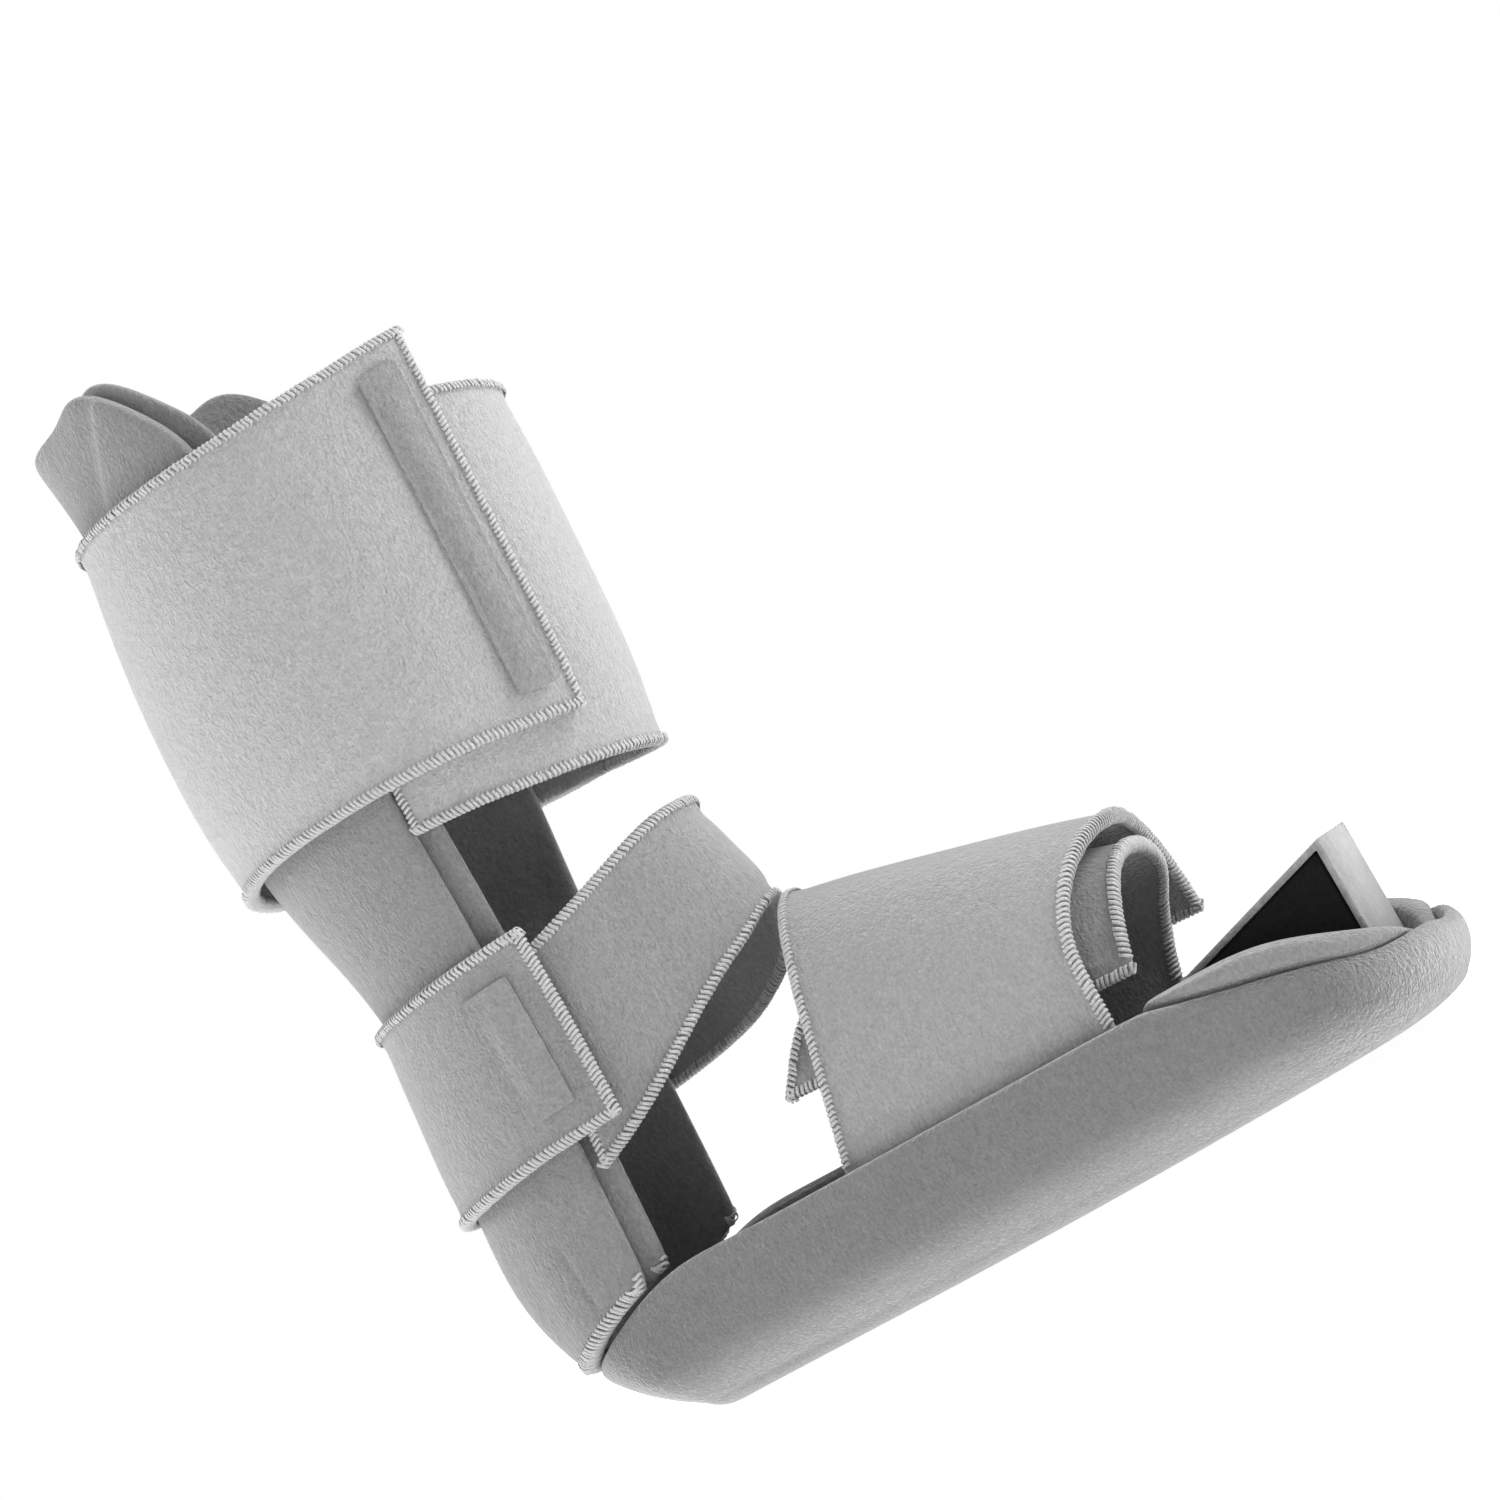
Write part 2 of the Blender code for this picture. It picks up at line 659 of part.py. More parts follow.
def flap_section(share, start_half, end_half, start_z, end_z, top, spring):
    """A point of a flap's underside, by the share of its girth from the start wall over the foot to its end."""
    turn = np.linspace(0, np.pi, 49)
    half = np.where(turn < np.pi / 2, start_half, end_half)
    power = 2 / FLAP_POWER
    cosine = np.cos(turn)
    y = half * np.sign(cosine) * np.abs(cosine) ** power
    z = spring + (top - spring) * np.sin(turn) ** power
    y = np.concatenate([[start_half], y, [-end_half]])
    z = np.concatenate([[start_z], z, [min(end_z, spring - 0.0002)]])
    if end_z > spring:
        keep = (z > end_z) | (y > 0)
        y, z = y[keep], z[keep]
    length = np.concatenate([[0], np.cumsum(np.hypot(np.diff(y), np.diff(z)))])
    at = share * length[-1]
    return float(np.interp(at, length, y)), float(np.interp(at, length, z))


def flap_top(x):
    """Height of the outer flap's outer side over the foot."""
    return FLAP_TOP + FLAP_SLOPE * (x - FLAP_BACK - FLAP_LEAN)


def make_outer_flap():
    """The flap that is sewn inside the near wall and ends outside the other flap on the far side."""

    def place(around, up):
        over = math.sin(math.pi * min(around / OUTER_FLAP_LEAN_END, 1.0))
        back = FLAP_BACK + FLAP_LEAN * over
        front = FLAP_FRONT + FLAP_FRONT_LEAN * ease(around, *OUTER_FLAP_TURN)
        x = back + (front - back) * up
        wall = bed_half_width(x) - WALL_THICKNESS - GAP
        y, z = flap_section(around, wall - FLAP_THICKNESS, wall + GAP, FLAP_ROOT, RIM_HEIGHT + OUTER_FLAP_END,
                            flap_top(x) - FLAP_THICKNESS, RIM_HEIGHT + FLAP_SPRING)
        return (x, -y, z)

    padded_sheet("forefoot_flap_outer", 30, 5, lambda around, up: place(1 - around, up), FLAP_THICKNESS, GREY)


def make_inner_flap():
    """The flap that is sewn inside the far wall and ends under the other one on the near side."""

    def place(around, up):
        back = FLAP_BACK + smooth(INNER_FLAP_EDGES, around, 1) * FLAP_LEAN
        front = FLAP_FRONT + smooth(INNER_FLAP_EDGES, around, 2) * FLAP_FRONT_LEAN
        x = back + (front - back) * up
        wall = bed_half_width(x) - WALL_THICKNESS - GAP
        forward = ease(x, FLAP_BACK, FLAP_FRONT)
        space = INNER_FLAP_SPACES[0] + (INNER_FLAP_SPACES[1] - INNER_FLAP_SPACES[0]) * forward
        near = wall - 2 * FLAP_THICKNESS - GAP - space
        end = INNER_FLAP_END - INNER_FLAP_END_DROP * forward
        top = flap_top(x) - 2 * FLAP_THICKNESS - GAP - space
        y, z = flap_section(around, wall - FLAP_THICKNESS, near, FLAP_ROOT, end, top, RIM_HEIGHT + FLAP_SPRING)
        return (x, y, z)

    padded_sheet("forefoot_flap_inner", 30, 5, place, FLAP_THICKNESS, DARK_GREY)


def wedge_seat(x):
    """Height of the underside of the wedge, just over the pad on the bed."""
    level = SOLE_THICKNESS + PAD_THICKNESS + 2 * GAP
    return level + toe_lift(x, level)


def make_wedge():
    """The foam wedge under the toes: a box with its upper back edge brought down."""
    front = WEDGE_FRONT - COVER_THICKNESS - GAP
    apex = WEDGE_HEIGHT - (COVER_THICKNESS + GAP) / math.cos(WEDGE_SLOPE)
    form = bmesh.new()
    bmesh.ops.create_cube(form, size=1)
    for vertex in form.verts:
        at_front = vertex.co.x > 0
        top = apex - (0 if at_front else WEDGE_LENGTH * math.tan(WEDGE_SLOPE))
        x = front if at_front else front - WEDGE_LENGTH
        vertex.co = (x, 2 * vertex.co.y * WEDGE_HALF_WIDTH, top if vertex.co.z > 0 else wedge_seat(x))
    wedge = add_object("toe_wedge", form, BLACK)
    bevel = wedge.modifiers.new("Eased edges", "BEVEL")
    bevel.width = EASING
    bevel.segments = 1


def make_wedge_cover():
    """The felt over the wedge's front face and incline, folded over its top edge."""
    front = WEDGE_FRONT - COVER_THICKNESS
    apex = WEDGE_HEIGHT - COVER_THICKNESS / math.cos(WEDGE_SLOPE)
    corner = np.array([front, apex])
    back = np.array([front - WEDGE_LENGTH, apex - WEDGE_LENGTH * math.tan(WEDGE_SLOPE)])
    foot = np.array([front, wedge_seat(WEDGE_FRONT)])
    thirds = (back - corner) / 3
    stations = [foot, (foot + corner) / 2, corner, corner + thirds, corner + 2 * thirds, back]

    def place(across, along):
        x, z = stations[round(along * (len(stations) - 1))]
        return (x, (2 * across - 1) * WEDGE_HALF_WIDTH, z)

    cover = padded_sheet("toe_wedge_cover", 4, len(stations) - 1, place, COVER_THICKNESS, FELT)
    cover.modifiers["Eased rims"].width = EASING / 2


GREY = (0.30, 0.30, 0.31)
DARK_GREY = (0.26, 0.26, 0.27)
BLACK = (0.02, 0.02, 0.02)
FELT = (0.62, 0.62, 0.62)

for old in list(bpy.data.objects):
    bpy.data.objects.remove(old, do_unlink=True)

SPLINT = collection("night_splint")
make_trough()
make_foot_liner()
make_shell()
make_leg_liner()
make_calf_wrap()
make_calf_patch()
make_ankle_strap()
make_ankle_patch()
make_outer_flap()
make_inner_flap()
make_wedge()
make_wedge_cover()
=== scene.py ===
"""Looks of a soft padded night splint: brushed foam cloth with overlocked edges, and a foam wedge under the toes."""

import math

import bmesh
import bpy
import numpy as np
from mathutils import Matrix, Vector
from mathutils.bvhtree import BVHTree
from mathutils.kdtree import KDTree


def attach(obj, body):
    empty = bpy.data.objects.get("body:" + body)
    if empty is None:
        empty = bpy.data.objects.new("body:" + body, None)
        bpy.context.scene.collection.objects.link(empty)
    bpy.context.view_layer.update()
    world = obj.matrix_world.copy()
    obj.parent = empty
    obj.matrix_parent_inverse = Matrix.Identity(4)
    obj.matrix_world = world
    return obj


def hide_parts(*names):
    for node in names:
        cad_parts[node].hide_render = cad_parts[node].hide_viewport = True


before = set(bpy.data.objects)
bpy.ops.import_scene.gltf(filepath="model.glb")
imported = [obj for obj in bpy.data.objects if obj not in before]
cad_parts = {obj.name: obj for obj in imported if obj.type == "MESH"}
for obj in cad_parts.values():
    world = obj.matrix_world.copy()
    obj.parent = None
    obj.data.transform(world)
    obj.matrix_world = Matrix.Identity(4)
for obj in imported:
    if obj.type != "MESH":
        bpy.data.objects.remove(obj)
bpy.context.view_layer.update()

# The photographer's side: a camera a metre away near the floor, turned on its axis so that the leg leans back as
# in the picture, soft boxes overhead and in front, and a white sweep.
CAMERA_YAW = math.radians(16)
CAMERA_RISE = math.radians(-5)
CAMERA_ROLL = math.radians(29.4)
CAMERA_DISTANCE = 1.05
CAMERA_AIM = Vector((0.086, 0.0, 0.1643))

level_right = Vector((math.cos(CAMERA_YAW), math.sin(CAMERA_YAW), 0))
backwards = Vector((
    math.sin(CAMERA_YAW) * math.cos(CAMERA_RISE),
    -math.cos(CAMERA_YAW) * math.cos(CAMERA_RISE),
    math.sin(CAMERA_RISE),
))
level_up = backwards.cross(level_right)
camera_right = math.cos(CAMERA_ROLL) * level_right - math.sin(CAMERA_ROLL) * level_up
camera_up = math.sin(CAMERA_ROLL) * level_right + math.cos(CAMERA_ROLL) * level_up
camera = bpy.data.objects.new("camera", bpy.data.cameras.new("camera"))
camera.data.sensor_width = 36
camera.data.lens = 85.68
camera.data.clip_start = 0.05
place = Matrix((camera_right, camera_up, backwards)).transposed().to_4x4()
place.translation = CAMERA_AIM + CAMERA_DISTANCE * backwards
camera.matrix_world = place
bpy.context.scene.collection.objects.link(camera)
bpy.context.scene.camera = camera
bpy.context.scene.view_settings.view_transform = "Standard"


def soft_box(name, place, aim, width, power):
    """A square studio light."""
    light = bpy.data.lights.new(name, "AREA")
    light.shape = "SQUARE"
    light.size = width
    light.energy = power
    lamp = bpy.data.objects.new(name, light)
    lamp.location = place
    lamp.rotation_euler = (Vector(aim) - Vector(place)).to_track_quat("-Z", "Y").to_euler()
    bpy.context.scene.collection.objects.link(lamp)


soft_box("left_light", (-1.25, -0.35, 0.85), (-0.02, 0, 0.20), 0.8, 19)
soft_box("right_light", (1.25, 0.05, 0.95), (0.10, 0, 0.12), 0.8, 22)
soft_box("top_light", (0.15, 0.35, 1.45), (0.05, 0, 0.10), 0.8, 9)
soft_box("front_light", (0.35, -1.5, 0.75), (0.08, 0, 0.12), 1.0, 3)

world = bpy.data.worlds.new("studio")
world.use_nodes = True
studio = world.node_tree
room = studio.nodes["Background"]
room.inputs["Color"].default_value = (1, 1, 1, 1)
room.inputs["Strength"].default_value = 0.36
paper = studio.nodes.new("ShaderNodeBackground")
paper.inputs["Color"].default_value = (1, 1, 1, 1)
seen = studio.nodes.new("ShaderNodeLightPath")
either = studio.nodes.new("ShaderNodeMixShader")
studio.links.new(seen.outputs["Is Camera Ray"], either.inputs["Fac"])
studio.links.new(room.outputs["Background"], either.inputs[1])
studio.links.new(paper.outputs["Background"], either.inputs[2])
studio.links.new(either.outputs["Shader"], studio.nodes["World Output"].inputs["Surface"])
bpy.context.scene.world = world

floor_form = bmesh.new()
bmesh.ops.create_grid(floor_form, x_segments=1, y_segments=1, size=6)
floor_mesh = bpy.data.meshes.new("floor")
floor_form.to_mesh(floor_mesh)
floor_form.free()
floor = bpy.data.objects.new("floor", floor_mesh)
bpy.context.scene.collection.objects.link(floor)
floor_paper = bpy.data.materials.new("floor_paper")
floor_paper.use_nodes = True
for label, value in (("Base Color", (0.93, 0.93, 0.93, 1)), ("Roughness", 0.9), ("Emission Color", (1, 1, 1, 1)),
                     ("Emission Strength", 0.70)):
    floor_paper.node_tree.nodes["Principled BSDF"].inputs[label].default_value = value
floor_mesh.materials.append(floor_paper)

# The foot bed: a boat of thick foam cloth under the foot, laminated to a felted outer side. Its rim is turned and
# sewn in, so no stitches show, and a soft valley runs below it where the turned edge ends.
ROOM_SHARE = 0.4
ROOM_KEPT = 0.00008
SWELLING_STEPS = 16


def body_skin(node):
    """The node's body as a form of quads, with its loose triangles merged."""
    form = bmesh.new()
    form.from_mesh(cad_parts[node].data)
    bmesh.ops.remove_doubles(form, verts=form.verts, dist=2e-5)
    bmesh.ops.join_triangles(form, faces=form.faces, angle_face_threshold=math.pi, angle_shape_threshold=math.pi)
    bmesh.ops.recalc_face_normals(form, faces=form.faces)
    return form


def rounded(piece, levels):
    """Replaces the piece's mesh by its subdivided one."""
    rounding = piece.modifiers.new("Rounding", "SUBSURF")
    rounding.levels = rounding.render_levels = levels
    ready = piece.evaluated_get(bpy.context.evaluated_depsgraph_get())
    smooth = bpy.data.meshes.new_from_object(ready)
    piece.modifiers.clear()
    rough = piece.data
    piece.data = smooth
    bpy.data.meshes.remove(rough)
    smooth.name = piece.name


def coordinates(mesh, what="vertices"):
    """Positions of a mesh's points, or their normals."""
    values = np.empty(len(mesh.vertices) * 3)
    if what == "normals":
        mesh.vertex_normals.foreach_get("vector", values)
    else:
        mesh.vertices.foreach_get("co", values)
    return values.reshape(-1, 3)


def free_room(piece, node, most, reach=0.012):
    """How far each point of the piece may move outwards: a share of the way to whatever lies over it."""
    trees = []
    for name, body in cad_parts.items():
        if name != node:
            trees.append(BVHTree.FromPolygons([v.co for v in body.data.vertices],
                                              [p.vertices for p in body.data.polygons]))
    own = BVHTree.FromPolygons([v.co for v in piece.data.vertices], [p.vertices for p in piece.data.polygons])
    room = np.full(len(piece.data.vertices), most)
    for i, (at, normal) in enumerate(zip(coordinates(piece.data), coordinates(piece.data, "normals"))):
        at, normal = Vector(at), Vector(normal)
        free = [tree.ray_cast(at - normal * 0.0001, normal, reach)[3] for tree in trees]
        free.append(own.ray_cast(at + normal * 0.0004, normal, reach)[3])
        free = [distance for distance in free if distance is not None]
        if free:
            room[i] = min(most, max(ROOM_SHARE * min(free) - ROOM_KEPT, 0.0))
    ends = np.empty(len(piece.data.edges) * 2, int)
    piece.data.edges.foreach_get("vertices", ends)
    first, second = ends.reshape(-1, 2).T
    eased = room.copy()
    for _ in range(5):
        total = np.zeros(len(room))
        count = np.zeros(len(room))
        for here, there in ((first, second), (second, first)):
            np.add.at(total, here, eased[there])
            np.add.at(count, here, 1)
        eased = np.minimum(room, (eased + total) / (1 + count))
    return eased


def swell(piece, node, held, most, pressure=4.0, inwards=0.0003):
    """Lets the foam swell between the places where it is held, as far as there is room."""
    rest = coordinates(piece.data)
    room = free_room(piece, node, most)
    still = piece.vertex_groups.new(name="held")
    for i, weight in enumerate(held):
        if weight > 0.01:
            still.add([i], float(min(weight, 1.0)), "REPLACE")
    cloth = piece.modifiers.new("Foam", "CLOTH")
    cloth.settings.quality = 6
    cloth.settings.mass = 0.15
    cloth.settings.tension_stiffness = 12
    cloth.settings.compression_stiffness = 12
    cloth.settings.shear_stiffness = 5
    cloth.settings.bending_stiffness = 1.5
    cloth.settings.effector_weights.gravity = 0
    cloth.settings.use_pressure = True
    cloth.settings.uniform_pressure_force = pressure
    cloth.settings.vertex_group_mass = "held"
    cloth.collision_settings.use_collision = False
    cloth.point_cache.frame_start = 1
    cloth.point_cache.frame_end = SWELLING_STEPS
    for step in range(1, SWELLING_STEPS + 1):
        bpy.context.scene.frame_set(step)
    ready = piece.evaluated_get(bpy.context.evaluated_depsgraph_get()).to_mesh()
    moved = coordinates(ready) - rest
    piece.evaluated_get(bpy.context.evaluated_depsgraph_get()).to_mesh_clear()
    piece.modifiers.clear()
    piece.vertex_groups.clear()
    bpy.context.scene.frame_set(1)
    normals = coordinates(piece.data, "normals")
    out = (moved * normals).sum(1)
    side = moved - out[:, None] * normals
    limit = np.where(out > 0, room, inwards) + 1e-7
    eased = limit * np.tanh(out / limit)
    length = np.linalg.norm(side, axis=1) + 1e-9
    sway = np.minimum(room, 0.0005) + 1e-7
    side *= (sway * np.tanh(length / sway) / length)[:, None]
    spot = rest + eased[:, None] * normals + side
    print(piece.name, "swelled by up to", round(eased.max() * 1000, 2), "mm, raw", round(out.max() * 1000, 2))
    piece.data.vertices.foreach_set("co", spot.ravel())
    piece.data.update()


def soft_piece(name, form, levels, material, node=None, most=0.0, holds=None, first=1):
    """A piece from a form: rounded, swollen where it isn't held, and rounded again, as a plain mesh."""
    mesh = bpy.data.meshes.new(name)
    form.to_mesh(mesh)
    form.free()
    piece = bpy.data.objects.new(name, mesh)
    bpy.context.scene.collection.objects.link(piece)
    if most:
        rounded(piece, first)
        at = coordinates(piece.data)
        swell(piece, node, holds(at) if holds else np.zeros(len(at)), most)
        levels -= first
    if levels:
        rounded(piece, levels)
    piece.data.shade_smooth()
    piece.data.materials.clear()
    piece.data.materials.append(material)
    return piece


def brushed_loops():
    """Shared effect: the short felted loops of the cloth, as a colour and a normal."""
    group = bpy.data.node_groups.new("brushed_loops", "ShaderNodeTree")
    sockets = group.interface
    sockets.new_socket("Cloth color", in_out="INPUT", socket_type="NodeSocketColor")
    for label, value in (("Speckle", 0.8), ("Mottle", 0.3), ("Loop size", 0.0007), ("Nap depth", 0.0004)):
        sockets.new_socket(label, in_out="INPUT", socket_type="NodeSocketFloat").default_value = value
    sockets.new_socket("Color", in_out="OUTPUT", socket_type="NodeSocketColor")
    sockets.new_socket("Normal", in_out="OUTPUT", socket_type="NodeSocketVector")
    nodes, links = group.nodes, group.links
    given = nodes.new("NodeGroupInput")
    result = nodes.new("NodeGroupOutput")
    at = nodes.new("ShaderNodeTexCoord").outputs["Object"]

    def cloud(scale, detail, roughness=0.6, distortion=0.0, stretch=None):
        made = nodes.new("ShaderNodeTexNoise")
        made.inputs["Detail"].default_value = detail
        made.inputs["Roughness"].default_value = roughness
        made.inputs["Distortion"].default_value = distortion
        place = at
        if stretch:
            along = nodes.new("ShaderNodeMapping")
            along.inputs["Rotation"].default_value = (0.0, 0.6, 0.3)
            along.inputs["Scale"].default_value = stretch
            links.new(at, along.inputs["Vector"])
            place = along.outputs["Vector"]
        links.new(place, made.inputs["Vector"])
        if isinstance(scale, float):
            made.inputs["Scale"].default_value = scale
        else:
            links.new(scale, made.inputs["Scale"])
        return made.outputs["Fac"]

    def work(operation, first, second):
        made = nodes.new("ShaderNodeMath")
        made.operation = operation
        for socket, value in zip(made.inputs, (first, second)):
            if isinstance(value, (int, float)):
                socket.default_value = value
            else:
                links.new(value, socket)
        return made.outputs[0]

    fine = work("DIVIDE", 0.75, given.outputs["Loop size"])
    loops = cloud(fine, 2.0, 0.55, 0.6)
    strands = cloud(work("MULTIPLY", fine, 1.3), 2.0, 0.5, 0.8, stretch=(1.0, 1.0, 0.28))
    clumps = cloud(work("MULTIPLY", fine, 0.30), 3.0, 0.6)
    patches = cloud(26.0, 3.0)
    speckle = work("MULTIPLY", work("SUBTRACT", loops, 0.5), given.outputs["Speckle"])
    streaks = work("MULTIPLY", work("SUBTRACT", strands, 0.5), work("MULTIPLY", given.outputs["Speckle"], 0.8))
    tufts = work("MULTIPLY", work("SUBTRACT", clumps, 0.5), given.outputs["Mottle"])
    mottle = work("MULTIPLY", work("SUBTRACT", patches, 0.5), work("MULTIPLY", given.outputs["Mottle"], 0.6))
    light = work("ADD", work("ADD", work("ADD", work("ADD", speckle, streaks), tufts), mottle), 1.0)
    tint = nodes.new("ShaderNodeVectorMath")
    tint.operation = "SCALE"
    links.new(given.outputs["Cloth color"], tint.inputs[0])
    links.new(light, tint.inputs["Scale"])
    links.new(tint.outputs[0], result.inputs["Color"])
    height = work("ADD", work("ADD", loops, work("MULTIPLY", strands, 0.7)), work("MULTIPLY", clumps, 1.2))
    bump = nodes.new("ShaderNodeBump")
    bump.inputs["Strength"].default_value = 0.9
    links.new(given.outputs["Nap depth"], bump.inputs["Distance"])
    links.new(height, bump.inputs["Height"])
    links.new(bump.outputs["Normal"], result.inputs["Normal"])
    return group


LOOPS = brushed_loops()


def foam_cloth(name, color, speckle=0.55, mottle=0.20, loop_size=0.0007, nap_depth=0.0007, sheen=0.6):
    """Foam cloth with a brushed loop face."""
    made = bpy.data.materials.new(name)
    made.use_nodes = True
    shader = made.node_tree.nodes["Principled BSDF"]
    face = made.node_tree.nodes.new("ShaderNodeGroup")
    face.name = "Brushed face"
    face.node_tree = LOOPS
    for label, value in (("Cloth color", (*color, 1)), ("Speckle", speckle), ("Mottle", mottle),
                         ("Loop size", loop_size), ("Nap depth", nap_depth)):
        face.inputs[label].default_value = value
    made.node_tree.links.new(face.outputs["Color"], shader.inputs["Base Color"])
    made.node_tree.links.new(face.outputs["Normal"], shader.inputs["Normal"])
    for label, value in (("Roughness", 0.95), ("Specular IOR Level", 0.12), ("Sheen Weight", sheen),
                         ("Sheen Roughness", 0.38)):
        shader.inputs[label].default_value = value
    return made


def bed_foam_cloth():
    """The bed's cloth: painted paler just above the sole, standing in for light bounced up from the floor, and paler
    towards the toe, where its nap is rougher too.
    """
    grey, painted_bounce_and_toe_grey = (0.155, 0.155, 0.158), (0.34, 0.34, 0.343)
    cloth = foam_cloth("bed_foam_cloth", grey, sheen=0.8)
    nodes, links = cloth.node_tree.nodes, cloth.node_tree.links
    face = nodes["Brushed face"]
    place = nodes.new("ShaderNodeSeparateXYZ")
    links.new(nodes.new("ShaderNodeTexCoord").outputs["Object"], place.inputs["Vector"])

    def ramp(axis, start, end, low, high, eased=True):
        made = nodes.new("ShaderNodeMapRange")
        made.interpolation_type = "SMOOTHSTEP" if eased else "LINEAR"
        for label, value in (("From Min", start), ("From Max", end), ("To Min", low), ("To Max", high)):
            made.inputs[label].default_value = value
        links.new(place.outputs[axis], made.inputs["Value"])
        return made.outputs["Result"]

    links.new(ramp("X", 0.185, 0.235, 0.0006, 0.0020, eased=False), face.inputs["Nap depth"])
    # Painted light: the colour turns paler near the sole in place of light bounced up from below, and paler towards
    # the toe.
    painted_bounce_and_toe_mix = nodes.new("ShaderNodeMath")
    painted_bounce_and_toe_mix.operation = "MAXIMUM"
    links.new(ramp("Z", 0.022, 0.001, 0.0, 1.0), painted_bounce_and_toe_mix.inputs[0])
    links.new(ramp("X", 0.205, 0.245, 0.0, 0.7), painted_bounce_and_toe_mix.inputs[1])
    shades = nodes.new("ShaderNodeMix")
    shades.data_type = "RGBA"
    first, second = [s for s in shades.inputs if s.type == "RGBA"]
    first.default_value = (*grey, 1)
    second.default_value = (*painted_bounce_and_toe_grey, 1)
    links.new(painted_bounce_and_toe_mix.outputs[0], shades.inputs["Factor"])
    links.new(next(s for s in shades.outputs if s.type == "RGBA"), face.inputs["Cloth color"])
    return cloth


BED_CLOTH = bed_foam_cloth()
foot_bed = soft_piece("foot_bed", body_skin("foot_trough"), 3, BED_CLOTH, node="foot_trough", most=0.0011,
                      holds=lambda at: np.clip(1.6 - at[:, 2] / 0.004, 0, 1))


def on_outer_side(at, normals, toe_bow=0.19):
    """Which points are on the outer side of the bed, whose normals lead away from its middle line."""
    middle = np.clip(at[:, 0], 0.0, toe_bow)
    return (at[:, 0] - middle) * normals[:, 0] + at[:, 1] * normals[:, 1] > 0.0002


def press_line(piece, start, end, depth, width, behind=None, side=-1):
    """Presses a soft crease into a side wall, between two places given as x and z."""
    at = coordinates(piece.data)
    normals = coordinates(piece.data, "normals")
    start, end = np.array(start), np.array(end)
    along = end - start
    length = np.linalg.norm(along)
    along /= length
    offset = at[:, (0, 2)] - start
    ahead = offset @ along
    across = offset @ np.array([along[1], -along[0]])
    past = np.maximum(np.maximum(-ahead, ahead - length), 0.0)
    spread = np.where(across < 0, behind or width, width)
    sunk = depth * np.exp(-(across / spread) ** 2 - (past / (3 * width)) ** 2)
    sunk *= np.clip(normals[:, 1] * side * 2.5 - 0.3, 0, 1)
    piece.data.vertices.foreach_set("co", (at - normals * sunk[:, None]).ravel())
    piece.data.update()


def tuck_in(piece, below=0.026, depth=0.0075, sole=0.0008, sole_fade=0.004, heel=-0.030, heel_fade=0.035):
    """Rounds the bed's walls in towards the sole, less and less towards the heel."""
    at = coordinates(piece.data)
    outwards = coordinates(piece.data, "normals")
    outwards[:, 2] = 0
    low = np.clip(1 - at[:, 2] / below, 0, 1) ** 2
    low *= np.clip((at[:, 2] - sole) / sole_fade, 0, 1)
    low *= np.clip(np.linalg.norm(outwards, axis=1) * 2 - 0.2, 0, 1)
    low *= np.where(on_outer_side(at, outwards), 1.0, 0.0) * np.clip((at[:, 0] - heel) / heel_fade, 0, 1)
    piece.data.vertices.foreach_set("co", (at - outwards * (depth * low)[:, None]).ravel())


tuck_in(foot_bed)
for side in (-1, 1):
    press_line(foot_bed, (-0.020, 0.0335), (0.150, 0.0365), 0.0007, 0.0028, side=side)
press_line(foot_bed, (-0.004, 0.030), (0.030, 0.0395), 0.0008, 0.0022)
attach(foot_bed, "root")
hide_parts("foot_trough")

# The pad inside the bed, of softer cloth over thinner foam. It is glued in, stands up as a lip along the bed's edge
# at the front, and rolls over that edge at the toes.
SOFT_CLOTH = foam_cloth("soft_lining_cloth", (0.19, 0.19, 0.193), loop_size=0.0009, nap_depth=0.0006)
bed_pad = soft_piece("bed_pad", body_skin("foot_liner"), 3, SOFT_CLOTH, node="foot_liner", most=0.0010)
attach(bed_pad, "root")
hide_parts("foot_liner")

# The half pipe behind the calf: one panel of thick foam cloth with two wings. Its lower hem is overlocked just above
# the bed at the heel, and a soft crease crosses its top.
CUT_EDGE = 0.0036


